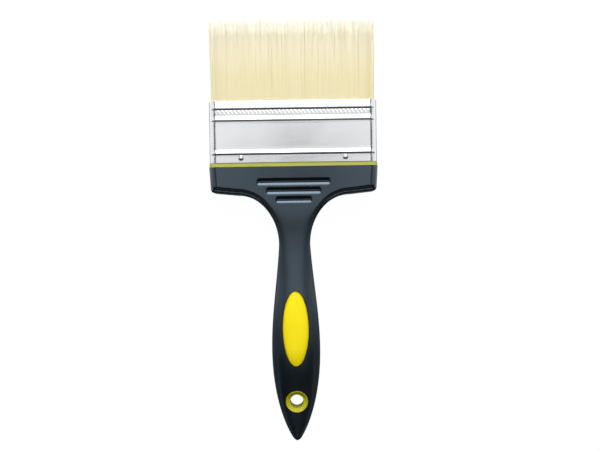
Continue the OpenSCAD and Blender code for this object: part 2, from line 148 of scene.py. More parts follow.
# Cut faces are split into triangles, and slivers are melted away
def clearSlivers(piece):
    pickOnly(piece)
    editAll()
    bpy.ops.mesh.quads_convert_to_tris(quad_method="BEAUTY", ngon_method="BEAUTY")
    bpy.ops.mesh.dissolve_degenerate(threshold=sliverSize)
    bpy.ops.object.mode_set(mode="OBJECT")


def joinPieces(name, pieces):
    pickOnly(*pieces)
    bpy.ops.object.join()
    return namePiece(name)


# Even skin with moulded, softened edges
def mouldSkin(piece, voxel, passes):
    applyModifier(piece, "REMESH", mode="VOXEL", voxel_size=voxel, use_smooth_shade=True)
    applyModifier(piece, "SMOOTH", factor=0.5, iterations=passes)


def smoothUnder(degrees):
    bpy.ops.object.shade_smooth_by_angle(angle=math.radians(degrees))


def finishPiece(piece, material, node):
    piece.data.materials.clear()
    piece.data.materials.append(material)
    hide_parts(node)
    piece.data.calc_loop_triangles()
    print(piece.name, len(piece.data.loop_triangles), "triangles")


# Curves of the handle

def mix(a, b, s):
    return a + (b - a) * s


def ease(s):
    c = np.clip(s, 0, 1)
    return c * c * (3 - 2 * c)


def hermite(a, b, slopeA, slopeB, s):
    return ((2 * s ** 3 - 3 * s ** 2 + 1) * a + (s ** 3 - 2 * s ** 2 + s) * slopeA
            + (3 * s ** 2 - 2 * s ** 3) * b + (s ** 3 - s ** 2) * slopeB)


# Handle in millimetres, "At" values down from the collar, with turns in degrees, shares and counts
handle = {
    "headTaper": 0.8,
    "headHeight": 15.2,
    "headCorner": 2.2,
    "leastCorner": 0.4,
    "cornerTurn": 86,
    "headRound": 5,
    "shoulderDrop": 1.4,
    "sweepWidth": 24.5,
    "neckAt": 46.6,
    "neckWidth": 18.8,
    "neckThick": 17,
    "thinAt": 53,
    "neckSlope": 0.75,
    "bellyAt": 109,
    "bellyWidth": 29.1,
    "bellyThick": 22,
    "holeToTip": 24.4,
    "holeThick": 13.4,
    "tipThick": 7.5,
    "tailDropShare": 0.9,
    "tipDropShare": 0.5,
    "tipRound": 2.2,
    "tipBlunt": 0.97,
    "tailPower": 2.15,
    "tailFall": 0.78,
    "tailStretch": 1.02,
    "sectionPower": 2.3,
    "sweepPower": 6,
    "powerAt": 68,
    "ledgeStep": 1.4,
    "ledgeInsets": (0, 0, 0.3, 0.7, 2.1, 3.2),
    "ledgeRises": (-9.6, -1, -0.2, 0, 0.1, 1.4),
    "rowsSide": 8,
    "rowsCorner": 10,
    "rowsShoulder": 8,
    "rowsSweep": 44,
    "rowsGrip": 44,
    "rowsTail": 64,
    "tailCrowding": 1.35,
    "quarterPoints": 41,
    "sideShare": 0.2,
    "blendFrom": 2,
    "blendShare": 0.75,
}
headWidth = (gripHigh.x - gripLow.x) / mm
headThick = (gripHigh.z - gripLow.z) / mm
handleLength = (gripHigh.y - gripLow.y) / mm
sweepAt = handle["headHeight"] + handle["shoulderDrop"]
sweepX = handle["neckWidth"] / 2 + handle["sweepWidth"]
cornerX = headWidth / 2 - handle["headTaper"]
holeAt = handleLength - handle["holeToTip"]
tailLength = handleLength - handle["bellyAt"]


# Points given as across, down from the collar and over the parting plane
def toFrame(across, down, over):
    return np.stack([across * mm, collarLow - down * mm, midZ + over * mm], axis=-1)


def halfThick(down):
    h = handle
    headHalf, neckHalf = headThick / 2, h["neckThick"] / 2
    bellyHalf, holeHalf, tipHalf = h["bellyThick"] / 2, h["holeThick"] / 2, h["tipThick"] / 2
    tailRun = holeAt - h["bellyAt"]
    tailDrop = h["tailDropShare"] * (bellyHalf - holeHalf)
    tipDrop = h["tipDropShare"] * (holeHalf - tipHalf)
    toNeck = mix(headHalf, neckHalf, ease((down - sweepAt) / (h["thinAt"] - sweepAt)))
    toBelly = mix(neckHalf, bellyHalf, ease((down - h["thinAt"]) / (h["bellyAt"] - h["thinAt"])))
    toHole = hermite(bellyHalf, holeHalf, 0, -tailDrop, (down - h["bellyAt"]) / tailRun)
    toTip = hermite(holeHalf, tipHalf, -tailDrop * h["holeToTip"] / tailRun, -tipDrop,
                    (down - holeAt) / h["holeToTip"])
    return np.select([down <= h["thinAt"], down <= h["bellyAt"], down <= holeAt],
                     [toNeck, toBelly, toHole], toTip)


def tipRound(down):
    into = np.clip((down - (handleLength - handle["tipRound"])) / handle["tipRound"], 0, 1)
    return np.sqrt(1 - handle["tipBlunt"] * into ** 2)


def halfWidth(down):
    h = handle
    rise = hermite(0, 1, h["neckSlope"], 0, (down - h["neckAt"]) / (h["bellyAt"] - h["neckAt"]))
    upper = mix(h["neckWidth"] / 2, h["bellyWidth"] / 2, rise)
    s = np.clip((down - h["bellyAt"]) / (tailLength * h["tailStretch"]), 0, 1)
    lower = h["bellyWidth"] / 2 * (1 - s ** h["tailPower"]) ** h["tailFall"] * tipRound(down)
    return np.where(down <= h["bellyAt"], upper, lower)


# The sweep and the neck are squarer in section than the grip
def sectionPower(down):
    h = handle
    return mix(h["sweepPower"], h["sectionPower"], ease((down - sweepAt) / (h["powerAt"] - sweepAt)))


# Height of the grip's face over the parting plane
def faceHeight(across, down):
    power = sectionPower(down)
    inside = np.clip(1 - (np.abs(across) / halfWidth(down)) ** power, 0, 1)
    return halfThick(down) * inside ** (1 / power)


# Half outline of the handle, drawn in by a distance
def handleOutline(inset):
    h = handle
    radius = max(h["headCorner"] - inset, h["leastCorner"])
    cornerMid = cornerX - inset - radius
    cornerDown = h["headHeight"] - inset - radius
    s = np.arange(h["rowsSide"]) / h["rowsSide"]
    side = np.stack([mix(headWidth / 2 - inset, cornerX - inset, s), s * cornerDown], axis=-1)
    a = np.linspace(0, math.radians(h["cornerTurn"]), h["rowsCorner"])
    corner = np.stack([cornerMid + radius * np.cos(a), cornerDown + radius * np.sin(a)], axis=-1)
    s = np.arange(1, h["rowsShoulder"]) / h["rowsShoulder"]
    shoulder = np.stack([mix(corner[-1, 0], sweepX, s), mix(corner[-1, 1], sweepAt - inset, s)], axis=-1)
    a = np.arange(h["rowsSweep"]) / h["rowsSweep"] * math.pi / 2
    sweep = np.stack([sweepX - (h["sweepWidth"] + inset) * np.sin(a),
                      h["neckAt"] - (h["neckAt"] - sweepAt + inset) * np.cos(a)], axis=-1)
    down = mix(h["neckAt"], h["bellyAt"], np.arange(h["rowsGrip"]) / h["rowsGrip"])
    grip = np.stack([halfWidth(down) - inset, down], axis=-1)
    s = np.arange(h["rowsTail"] + 1) / h["rowsTail"]
    down = h["bellyAt"] + tailLength * (1 - (1 - s) ** h["tailCrowding"])
    tail = np.stack([np.maximum(halfWidth(down) - inset, 0), down], axis=-1)
    return np.concatenate([side, corner, shoulder, sweep, grip, tail])


# Quarter sections from the parting line to the middle of the face, one row for each outline point:
# round edges at the head's two ends turn into a ledge and a step at its lower corners
def handleQuarters():
    h = handle
    faceZ = headThick / 2
    ledgeZ = faceZ - h["ledgeStep"]
    sideShare = h["sideShare"]  # share of the edge profile that is the upright side
    outer = handleOutline(0)
    down = outer[:, 1]
    ledgeShare = ease((np.arange(len(down)) - h["rowsSide"]) / (h["rowsCorner"] - 1))
    blend = ease((down - sweepAt - h["blendFrom"]) / (h["blendShare"] * (h["neckAt"] - sweepAt)))[:, None]
    ledgeSteps = np.linspace(0, 1, len(h["ledgeInsets"]))
    power = sectionPower(down)
    rows = []
    for t in np.linspace(0, 1, h["quarterPoints"]):
        edge = min(2 * t, 1)
        turn = max(edge - sideShare, 0) / (1 - sideShare) * math.pi / 2
        roundOver = min(edge / sideShare, 1) * (faceZ - h["headRound"]) + h["headRound"] * math.sin(turn)
        ledgeOver = ledgeZ + np.interp(edge, ledgeSteps, h["ledgeRises"])
        roundFlat = handleOutline(h["headRound"] * (1 - math.cos(turn)))
        ledgeFlat = handleOutline(np.interp(edge, ledgeSteps, h["ledgeInsets"]))
        flat = mix(roundFlat, ledgeFlat, ledgeShare[:, None])
        over = mix(roundOver, ledgeOver, ledgeShare)
        head = np.stack([flat[:, 0] * min(2 - 2 * t, 1), flat[:, 1], over], axis=-1)
        a = t * math.pi / 2
        roundX = math.cos(a) ** (2 / power) if t < 1 else 0
        roundZ = math.sin(a) ** (2 / power)
        grip = np.stack([outer[:, 0] * roundX, down, halfThick(down) * tipRound(down) * roundZ], axis=-1)
        rows.append(mix(head, grip, blend))
    return np.stack(rows, axis=1)


# Black soft-touch overmould
gripSizes = {
    "groove": ((-2.2, 0), (-2.12, 0.5), (-1.9, 0.74), (-1.3, 0.98), (-0.7, 1.22), (-0.2, 1.41), (0, 1.41),
               (0.3, 1.15), (0.7, 0.81), (1.2, 0.41), (1.7, 0.18), (2.2, 0.075), (2.7, 0.02), (3.05, 0)),
    "grooves": 3,
    "grooveStep": 5.4,
    "grooveAt": 9,
    "grooveLong": 44,
    "grooveLess": 11,
    "grooveEnd": 1.5,
    "grooveEndFrom": 0.1,
    "grooveEndSteps": 9,
    "cutterOver": 1,
    "spareTop": 2,
    "voxel": 0.46,
    "softening": 3,
    "smoothUnder": 32,
}
padSizes = {"at": 96.5, "width": 15.4, "length": 44.6, "gap": 0.25, "sink": 0.15, "edgeFall": 0.9,
            "edgePower": 6, "lap": 1, "steps": 128, "rings": 24, "lastRing": 0.985, "ringPower": 1.6}
holeSizes = {"bore": 8, "ring": 13.2, "throat": 9.6, "rim": 0.5, "rimEdge": 0.15, "rimFall": 0.2,
             "gap": 0.35, "sink": 0.15, "lap": 0.5, "steps": 96, "flareSteps": 10, "flarePower": 1.4}
spineThick = 7
padY = collarLow - padSizes["at"] * mm
holeMid = (0, collarLow - holeAt * mm, midZ)


# Long bars with round ends, drawn through one section: down from the middle of the groove, and its depth
def grooveCutter():
    g = gripSizes
    section = np.array(g["groove"])
    turn = np.linspace(g["grooveEndFrom"], math.pi / 2, g["grooveEndSteps"])
    cutters = []
    for side in (-1, 1):
        for k in range(g["grooves"]):
            half = (g["grooveLong"] - k * g["grooveLess"]) / 2
            reach = half - g["grooveEnd"] * (1 - np.cos(turn))
            across = np.concatenate([-reach, reach[::-1]])
            share = np.concatenate([np.sin(turn), np.sin(turn[::-1])])
            rings = []
            for x, s in zip(across, share):
                down = g["grooveAt"] + k * g["grooveStep"] + section[:, 0] * s
                over = headThick / 2 - section[:, 1] * s
                down = np.concatenate([down, down[[-1, 0]]])
                over = np.concatenate([over, [headThick / 2 + g["cutterOver"]] * 2])
                rings.append(toFrame(np.full(len(down), x), down, side * over))
            cutters.append(rollGrid("grooveCutter", np.stack(rings)))
    return joinPieces("grooveCutter", cutters)


def windowCutter():
    p = padSizes
    cutters = []
    for side in (-1, 1):
        clearSelection()
        bpy.ops.mesh.primitive_circle_add(vertices=p["steps"], radius=1, fill_type="NGON",
                                          location=(0, padY, midZ + side * spineThick / 2 * mm))
        cutters.append(namePiece("windowCutter"))
        editAll()
        halfAcross = (p["width"] / 2 + p["gap"]) * mm
        halfAlong = (p["length"] / 2 + p["gap"]) * mm
        bpy.ops.transform.resize(value=(halfAcross, halfAlong, 1))
        bpy.ops.mesh.extrude_region_move(TRANSFORM_OT_translate={"value": (0, 0, side * headThick * mm)})
        faceOutward()
    return joinPieces("windowCutter", cutters)


def holeCutter(radius):
    clearSelection()
    bpy.ops.mesh.primitive_cylinder_add(vertices=holeSizes["steps"], radius=radius * mm,
                                        depth=2 * headThick * mm, location=holeMid)
    return namePiece("holeCutter")


def makeGrip():
    quarter = handleQuarters()
    last = quarter.shape[1] - 1
    left = quarter * [-1, 1, 1]
    section = np.concatenate([quarter, left[:, last - 1::-1], (left * [1, 1, -1])[:, 1:],
                              (quarter * [1, 1, -1])[:, last - 1:0:-1]], axis=1)
    section = np.concatenate([section[:1] - [0, gripSizes["spareTop"], 0], section])
    grip = rollGrid("gripBody", toFrame(section[..., 0], section[..., 1], section[..., 2]))
    mouldSkin(grip, gripSizes["voxel"] * mm, gripSizes["softening"])
    editAll()
    bpy.ops.mesh.bisect(plane_co=(0, collarLow, 0), plane_no=(0, 1, 0), clear_outer=True, use_fill=True)
    bpy.ops.object.mode_set(mode="OBJECT")
    cutters = [grooveCutter(), windowCutter(), holeCutter(holeSizes["ring"] / 2 + holeSizes["gap"])]
    cutAway(grip, joinPieces("gripCutter", cutters))
    clearSlivers(grip)
    smoothUnder(gripSizes["smoothUnder"])
    return grip


# Yellow core: collar, tenon, spine, pads and the ring of the hang hole in one moulding
coreSizes = {
    "collarOver": -0.2,
    "collarThick": 18.3,
    "collarRound": 4.4,
    "cornerSteps": 10,
    "collarBevel": 0.4,
    "tenonWidth": 98,
    "tenonThick": 16.8,
    "tenonLength": 12,
    "wall": 3.4,
    "spinePast": 2,
    "spineEndGap": 3,
    "spineEndHalf": 1,
    "smoothUnder": 35,
}


def makeCollar():
    c = coreSizes
    width = headWidth + c["collarOver"]
    height = (ferruleFoot - collarLow) / mm - c["collarBevel"]
    clearSelection()
    bpy.ops.mesh.primitive_cube_add(size=1, location=(0, collarLow + height / 2 * mm, midZ))
    collar = namePiece("collar")
    editAll()
    bpy.ops.transform.resize(value=(width * mm, height * mm, c["collarThick"] * mm))
    bpy.ops.mesh.select_all(action="DESELECT")
    mesh = bmesh.from_edit_mesh(collar.data)
    for edge in mesh.edges:
        a, b = edge.verts
        edge.select_set(abs(a.co.y - b.co.y) > height / 2 * mm)  # the four upright edges
    bmesh.update_edit_mesh(collar.data)
    bpy.ops.mesh.bevel(offset=c["collarRound"] * mm, segments=c["cornerSteps"], profile=0.5)
    topWidth = width - 2 * c["collarBevel"]
    topThick = c["collarThick"] - 2 * c["collarBevel"]
    growTop(collar, c["collarBevel"], topWidth / width, topThick / c["collarThick"])
    growTop(collar, 0, c["tenonWidth"] / topWidth, c["tenonThick"] / topThick)
    growTop(collar, c["tenonLength"], 1, 1)
    bpy.ops.object.mode_set(mode="OBJECT")
    bpy.ops.object.transform_apply(location=True, rotation=True, scale=True)
    return collar


# The face that looks towards the bristles is drawn out and drawn in
def growTop(piece, rise, shareX, shareZ):
    mesh = bmesh.from_edit_mesh(piece.data)
    heights = {face: face.calc_center_median().y for face in mesh.faces}
    level = max(heights.values()) - weldReach  # the rim round the top lies as high, but is smaller
    top = max((face for face in mesh.faces if heights[face] > level), key=lambda face: face.calc_area())
    for face in mesh.faces:
        face.select_set(False)
    top.select_set(True)
    bmesh.update_edit_mesh(piece.data)
    bpy.ops.mesh.extrude_region_move(TRANSFORM_OT_translate={"value": (0, rise * mm, 0)})
    bpy.ops.transform.resize(value=(shareX, 1, shareZ))


def makeSpine():
    c = coreSizes
    outline = handleOutline(c["wall"])
    spineEnd = holeAt + holeSizes["ring"] / 2 + c["spinePast"]
    half = outline[outline[:, 1] < spineEnd - c["spineEndGap"]]
    endHalf = max(halfWidth(np.array(spineEnd)) - c["wall"], c["spineEndHalf"])
    half = np.concatenate([half, [[endHalf, spineEnd]]])
    loop = np.concatenate([half, half[::-1] * [-1, 1]])
    clearSelection()
    bpy.ops.mesh.primitive_circle_add(vertices=len(loop), fill_type="NGON")
    spine = namePiece("spine")
    low = toFrame(loop[:, 0], loop[:, 1], np.full(len(loop), -spineThick / 2))
    spine.data.vertices.foreach_set("co", low.astype(np.float32).ravel())
    editAll()
    bpy.ops.mesh.extrude_region_move(TRANSFORM_OT_translate={"value": (0, 0, spineThick * mm)})
    faceOutward()
    cutAway(spine, holeCutter(holeSizes["ring"] / 2 - holeSizes["lap"]))
    return spine


# Oval that follows the grip's face and falls away to a soft edge
def makePad(side):
    p = padSizes
    a = np.linspace(0, 2 * math.pi, p["steps"], endpoint=False)
    rings = [toFrame(p["width"] / 2 * np.cos(a), p["at"] - p["length"] / 2 * np.sin(a),
                     np.full(len(a), side * (spineThick / 2 - p["lap"])))]
    for share in 1 - np.linspace(0, p["lastRing"], p["rings"]) ** p["ringPower"]:
        across = p["width"] / 2 * share * np.cos(a)
        down = p["at"] - p["length"] / 2 * share * np.sin(a)
        over = faceHeight(across, down) - p["sink"] - p["edgeFall"] * share ** p["edgePower"]
        rings.append(toFrame(across, down, side * over))
    return rollGrid("pad", np.stack(rings))


# Ring round the hang hole: a straight throat that flares to rims on both faces
def makeRing():
    s = holeSizes
    inner, outer, throat = s["bore"] / 2, s["ring"] / 2, s["throat"] / 2
    a = np.linspace(0, 2 * math.pi, s["steps"], endpoint=False)
    columns = []
    for side in (1, -1):
        half = [(inner, 0), (inner, throat)]
        rim = faceHeight(outer * np.cos(a), holeAt - outer * np.sin(a)) - s["sink"]
        for k in np.linspace(1 / s["flareSteps"], 1, s["flareSteps"]):
            half.append((mix(inner, outer - s["rim"], k), mix(throat, rim, k ** s["flarePower"])))
        half = half + [(outer - s["rimEdge"], rim), (outer, rim - s["rimFall"]), (outer, s["lap"])]
        points = [toFrame(radius * np.cos(a), holeAt - radius * np.sin(a), side * over + 0 * a)
                  for radius, over in half]
        columns.extend(points if side > 0 else points[:0:-1])
    return rollGrid("ring", np.stack(columns, axis=1), endless=True)


def makeCore():
    core = makeSpine()
    for part in (makeCollar(), makePad(1), makePad(-1), makeRing()):
        cutAway(core, part, operation="UNION")
    clearSlivers(core)
    namePiece("handleCore")
    smoothUnder(coreSizes["smoothUnder"])
    return core


# Pressed metal ferrule
ferruleSizes = {
    "width": 100,
    "thick": 19,
    "sheet": 0.5,
    "round": 5,
    "beadRise": 0.66,
    "beadEndShare": 0.12,
    "beadFadeFrom": 0.84,
    "beadFade": 0.14,
    "beads": ((5.6, 1.3, 2.2), (25.4, 1.1, 2.5)),  # middle, reach below and reach above
    "mouthBand": ((31.3, 0), (31.7, 0.33), (32.1, 0.6), (32.4, 0.66), (32.8, 0.64), (33.6, 0.53),
                  (34.5, 0.4), (34.8, 0.38), (35.2, 0.4), (35.8, 0.29), (36.3, 0.1), (36.5, -0.1)),
    "ropeLow": 28.2,
    "ropeHigh": 31.2,
    "ropePitch": 2.4,
    "ropeSlant": 0.5,
    "ropeRise": 0.14,
    "ropeFade": 0.6,
    "ropeEndPower": 4,
    "footRows": (0, 0.3, 1.5, 3, 4.5),
    "panelRows": (10, 23, 6),  # first, last and count
    "beadRows": 19,
    "ropeRow": 0.3,
    "mouthRows": 27,
    "faceStep": 0.3,
    "cornerSteps": 10,
    "endSteps": 12,
    "smoothUnder": 50,
}


# Points round the section with their outward directions, as across, over and direction
def ferruleLoop():
    f = ferruleSizes
    halfX, halfZ, radius = f["width"] / 2, f["thick"] / 2, f["round"]
    faceSteps = int((f["width"] - 2 * radius) / f["faceStep"])
    points = []
    for quarter in range(4):
        a = quarter * math.pi / 2 + np.arange(f["cornerSteps"]) / f["cornerSteps"] * math.pi / 2
        signX = 1 if quarter in (0, 3) else -1
        signZ = 1 if quarter < 2 else -1
        mid = np.array([signX * (halfX - radius), signZ * (halfZ - radius)])
        way = np.stack([np.cos(a), np.sin(a)], axis=-1)
        points.append(np.concatenate([mid + radius * way, way], axis=1))
        steps = faceSteps if quarter in (0, 2) else f["endSteps"]
        outward = np.array([math.cos((quarter + 1) * math.pi / 2), math.sin((quarter + 1) * math.pi / 2)])
        nextX = 1 if quarter in (3, 2) else -1
        nextZ = 1 if quarter in (0, 3) else -1
        start = mid + radius * outward
        end = np.array([nextX * (halfX - radius), nextZ * (halfZ - radius)]) + radius * outward
        s = (np.arange(steps) / steps)[:, None]
        points.append(np.concatenate([mix(start, end, s), np.tile(outward, (steps, 1))], axis=1))
    return np.concatenate(points)


# Rise of the pressed sheet: beads with a steep lower flank, and the rolled band at the mouth
def beadRise(along):
    f = ferruleSizes
    rise = np.interp(along, *zip(*f["mouthBand"]), left=0)
    for middle, below, above in f["beads"]:
        reach = np.where(along < middle, below, above)
        s = np.clip(np.abs(along - middle) / reach, 0, 1)
        rise = np.maximum(rise, f["beadRise"] * (0.5 + 0.5 * np.cos(math.pi * s)))
    return rise


def makeFerrule():
    f = ferruleSizes
    loop = ferruleLoop()
    length = (mouthY - ferruleFoot) / mm
    stations = [f["footRows"], np.linspace(*f["panelRows"])]
    for middle, below, above in f["beads"]:
        stations.append(np.linspace(middle - below, middle + above, f["beadRows"]))
    stations.append(np.arange(f["ropeLow"], f["ropeHigh"], f["ropeRow"]))
    stations.append(np.linspace(f["mouthBand"][0][0], length, f["mouthRows"]))
    along = np.unique(np.round(np.concatenate(stations), 2))
    face = np.abs(loop[:, 3])  # 1 on the wide faces, 0 at the narrow ends
    share = mix(f["beadEndShare"], 1, ease((face - f["beadFadeFrom"]) / f["beadFade"]))
    turned = loop[:, 0] * np.where(loop[:, 3] < 0, -1, 1)
    rings = []
    for y in along:
        inBand = ease((y - f["ropeLow"]) / f["ropeFade"]) * ease((f["ropeHigh"] - y) / f["ropeFade"])
        rope = 0.5 + 0.5 * np.cos(2 * math.pi * (turned + f["ropeSlant"] * y) / f["ropePitch"])
        rise = beadRise(y) * share + f["ropeRise"] * inBand * face ** f["ropeEndPower"] * rope
        rings.append(ferruleRing(loop, rise, y))
    inside = np.union1d(along[::2], along[-1:])  # the hidden inner wall needs fewer rings
    for y in inside[::-1]:
        rings.append(ferruleRing(loop, beadRise(y) * share - f["sheet"], y))
    ferrule = rollGrid("ferruleShell", np.stack(rings), endless=True)
    pickOnly(ferrule)
    smoothUnder(f["smoothUnder"])
    return ferrule


def ferruleRing(loop, rise, y):
    across = loop[:, 0] + rise * loop[:, 2]
    over = loop[:, 1] + rise * loop[:, 3]
    return np.stack([across * mm, np.full(len(loop), ferruleFoot + y * mm), midZ + over * mm], axis=-1)


# Dome nails, one modelled and three copied
nailSizes = {"apart": 62, "up": 2.7, "head": 3.4, "dome": 1, "shank": 1.4, "length": 6, "turns": 32,
             "rings": 24, "smoothUnder": 40}


def makeNails():
    n = nailSizes
    radius = (n["head"] ** 2 / 4 + n["dome"] ** 2) / (2 * n["dome"])
    clearSelection()
    bpy.ops.mesh.primitive_uv_sphere_add(segments=n["turns"], ring_count=n["rings"], radius=radius * mm)
    nail = namePiece("nail")
    editAll()
    bpy.ops.transform.translate(value=(0, 0, (n["dome"] - radius) * mm))
    bpy.ops.mesh.select_all(action="SELECT")
    bpy.ops.mesh.bisect(plane_co=(0, 0, 0), plane_no=(0, 0, 1), clear_inner=True, use_fill=True)
    bpy.ops.mesh.inset(thickness=(n["head"] - n["shank"]) / 2 * mm)
    bpy.ops.mesh.extrude_region_move(TRANSFORM_OT_translate={"value": (0, 0, -n["length"] * mm)})
    faceOutward()
    places = [(side, face) for side in (-1, 1) for face in (1, -1)]
    nails = [nail]
    while len(nails) < len(places):
        pickOnly(nail)
        bpy.ops.object.duplicate()
        nails.append(bpy.context.object)
    for nail, (side, face) in zip(nails, places):
        pickOnly(nail)
        nail.rotation_euler = (0 if face > 0 else math.pi, 0, 0)
        nail.location = (side * n["apart"] / 2 * mm, ferruleFoot + n["up"] * mm,
                         midZ + face * ferruleSizes["thick"] / 2 * mm)
        bpy.ops.object.transform_apply(location=True, rotation=True, scale=True)
    nails = joinPieces("ferruleNails", nails)
    smoothUnder(n["smoothUnder"])
    return nails


# Filaments, sizes in millimetres: each bundle stands in layers from back to front and columns across
bristleSizes = {
    "layers": 15,
    "columns": 333,
    "root": 3,
    "rootRadius": 0.26,
    "tipRadius": 0.09,
    "taperFrom": 0.7,
    "sizeRange": (0.85, 1.12),
    "segments": 6,
    "packWidth": 98.4,
    "packThick": 17.4,
    "packRound": 4.2,
    "spacer": 2.2,
    "layerJitter": 0.4,
    "columnJitter": (0.15, 0.85),
    "sideShare": 0.996,
    "sideClear": 0.35,
    "spread": 0.02,
    "waist": 0.06,
    "waistAt": 0.45,
    "narrowing": 0.12,
    "outerLayers": 3,
    "outerCalm": 0.35,
    "outerTurn": 0.3,
    "innerLayers": 2.5,
    "clumpWidth": 1.6,
    "clumpDepth": 5,
    "clumpJitter": 0.35,
    "clumpLean": 0.13,
    "ownLean": 0.14,
    "leanPower": 1.7,
    "bow": 0.1,
    "sway": 0.3,
    "scatter": 4.6,
    "clumpDrop": 0.3,
    "ownDrop": 0.7,
    "ownDropPower": 1.3,
    "cornerFall": 1.2,
    "cornerPower": 8,
    "clumpTone": 0.25,
    "ownTone": 0.4,
    "smoothUnder": 70,
}
# Which way a filament faces the light: out of its side of the pack, and forward at its tip
layShares = {"tipFrom": 0.9, "tipRun": 0.1, "tip": 0.9, "stem": 0.05, "side": 0.8, "sidePower": 11,
             "faceSharp": 3, "rearTip": 0.8}


def packHalfWidth(over):
    b = bristleSizes
    into = np.maximum(np.abs(over) - (b["packThick"] / 2 - b["packRound"]), 0)
    return b["packWidth"] / 2 - b["packRound"] + np.sqrt(np.maximum(b["packRound"] ** 2 - into ** 2, 0))


# One filament, modelled once: a three-sided rod of unit length along Y
def makeStrand():
    clearSelection()
    bpy.ops.mesh.primitive_circle_add(vertices=3, radius=1, rotation=(math.pi / 2, 0, 0))
    strand = namePiece("strand")
    bpy.ops.object.transform_apply(location=False, rotation=True, scale=False)
    editAll()
    steps = bristleSizes["segments"]
    for k in range(steps):
        bpy.ops.mesh.extrude_region_move(TRANSFORM_OT_translate={"value": (0, 1 / steps, 0)})
    bpy.ops.mesh.select_all(action="SELECT")
    bpy.ops.mesh.fill_holes(sides=0)
    faceOutward()
    points = np.array([vertex.co for vertex in strand.data.vertices])
    faces = [list(face.vertices) for face in strand.data.polygons]
    bpy.data.objects.remove(strand)
    return points, faces


# Where each filament of a bundle stands, and how it leans, bends and ends
def plantStrands(zone, seed):
    b = bristleSizes
    rng = np.random.default_rng(seed)
    third = (b["packThick"] - 2 * b["spacer"]) / 3
    pitch = b["packThick"] / 3
    layers, columns = b["layers"], b["columns"]
    layer = np.repeat(np.arange(layers), columns)
    column = np.tile(np.arange(columns), layers)
    count = len(layer)
    fromOutside = layers // 2 - zone * (layer - layers // 2)  # 0 in the outermost layer
    outer = fromOutside < b["outerLayers"]
    calm = np.where(outer, b["outerCalm"], 1)  # the outer layers lie straighter
    jitter = rng.uniform(-b["layerJitter"], b["layerJitter"], count)
    rootShare = (layer + 0.5 + jitter * calm ** 2) / layers - 0.5
    rootZ = zone * (third + b["spacer"]) + rootShare * third
    fullZ = zone * pitch + rootShare * pitch
    acrossShare = ((column + rng.uniform(*b["columnJitter"], count)) / columns * 2 - 1) * b["sideShare"]
    rootX = acrossShare * (packHalfWidth(rootZ) - b["rootRadius"])
    clump = np.floor((rootX + b["packWidth"]) / b["clumpWidth"] + b["clumpJitter"] * rng.normal(size=count))
    clump = (clump.astype(int), layer // b["clumpDepth"])
    clumps = (clump[0].max() + 1, layers // b["clumpDepth"] + 1)
    clumpLean = rng.normal(0, b["clumpLean"], clumps)[clump]
    clumpTone = rng.normal(0, 1, clumps)[clump]
    clumpDrop = rng.uniform(0, 1, clumps)[clump]
    lean = clumpLean + rng.normal(0, b["ownLean"], count)
    bow = calm * rng.normal(0, b["bow"], count)
    sway = calm * rng.normal(0, b["sway"], count)
    ownDrop = rng.uniform(0, 1, count) ** b["ownDropPower"]
    drop = b["scatter"] * (b["clumpDrop"] * clumpDrop + b["ownDrop"] * ownDrop)
    drop = drop + b["cornerFall"] * np.abs(acrossShare) ** b["cornerPower"]
    tone = b["clumpTone"] * clumpTone + b["ownTone"] * rng.normal(size=count)
    flatOut = math.pi * (1 + zone) / 2 + rng.uniform(-b["outerTurn"], b["outerTurn"], count)
    turn = np.where(outer, flatOut, rng.uniform(0, 2 * math.pi, count))
    size = rng.uniform(*b["sizeRange"], count)
    # How deep a filament lies under the outer layers; this sets how much painted glow it gets
    inner = np.clip(fromOutside / b["innerLayers"], 0, 1)
    plan = {"rootX": rootX, "rootZ": rootZ, "fullZ": fullZ, "lean": lean, "bow": bow, "sway": sway,
            "drop": drop, "turn": turn, "size": size, "tone": tone, "inner": inner}
    return {key: values[:, None] for key, values in plan.items()}


# Places of all points, their shares of the way to the tip, and which way they face the light
def growStrands(plan, points):
    b, lay = bristleSizes, layShares
    s = points[:, 1][None, :]
    tipAt = (tipsY - mouthY) / mm - plan["drop"]
    along = mix(-b["root"], tipAt, s)
    share = np.clip(along / tipAt, 0, 1)
    opening = ease(share / b["waistAt"])
    closing = ease((share - b["waistAt"]) / (1 - b["waistAt"]))
    bulge = np.where(share < b["waistAt"], opening, 1 - closing)
    across = plan["rootX"] * (1 + b["spread"] * share) + plan["lean"] * share ** b["leanPower"]
    across = across + plan["bow"] * np.sin(math.pi * share)
    halfLimit = cadBox[1].x / mm - b["sideClear"]
    across = np.clip(across, -halfLimit, halfLimit)
    over = mix(plan["rootZ"], plan["fullZ"], opening)
    over = over * (1 + b["waist"] * bulge - b["narrowing"] * closing)
    over = over + plan["sway"] * share ** 2
    taper = mix(1, b["tipRadius"] / b["rootRadius"], ease((s - b["taperFrom"]) / (1 - b["taperFrom"])))
    radius = b["rootRadius"] * plan["size"] * taper
    cosTurn, sinTurn = np.cos(plan["turn"]), np.sin(plan["turn"])
    sideX = (points[:, 0] * cosTurn - points[:, 2] * sinTurn) * radius
    sideZ = (points[:, 0] * sinTurn + points[:, 2] * cosTurn) * radius
    places = np.stack([(across + sideX) * mm, mouthY + along * mm, midZ + (over + sideZ) * mm], axis=-1)
    atTip = ease((share - lay["tipFrom"]) / lay["tipRun"])
    rearShare = np.where(over > 0, 1, 1 - lay["rearTip"] * atTip)
    facing = np.tanh(lay["faceSharp"] * over / (b["packThick"] / 2)) * rearShare
    sideways = lay["side"] * (across / halfLimit) ** lay["sidePower"]
    outward = np.stack([sideways, lay["tip"] * atTip + lay["stem"], facing], axis=-1)
    return places, share, outward


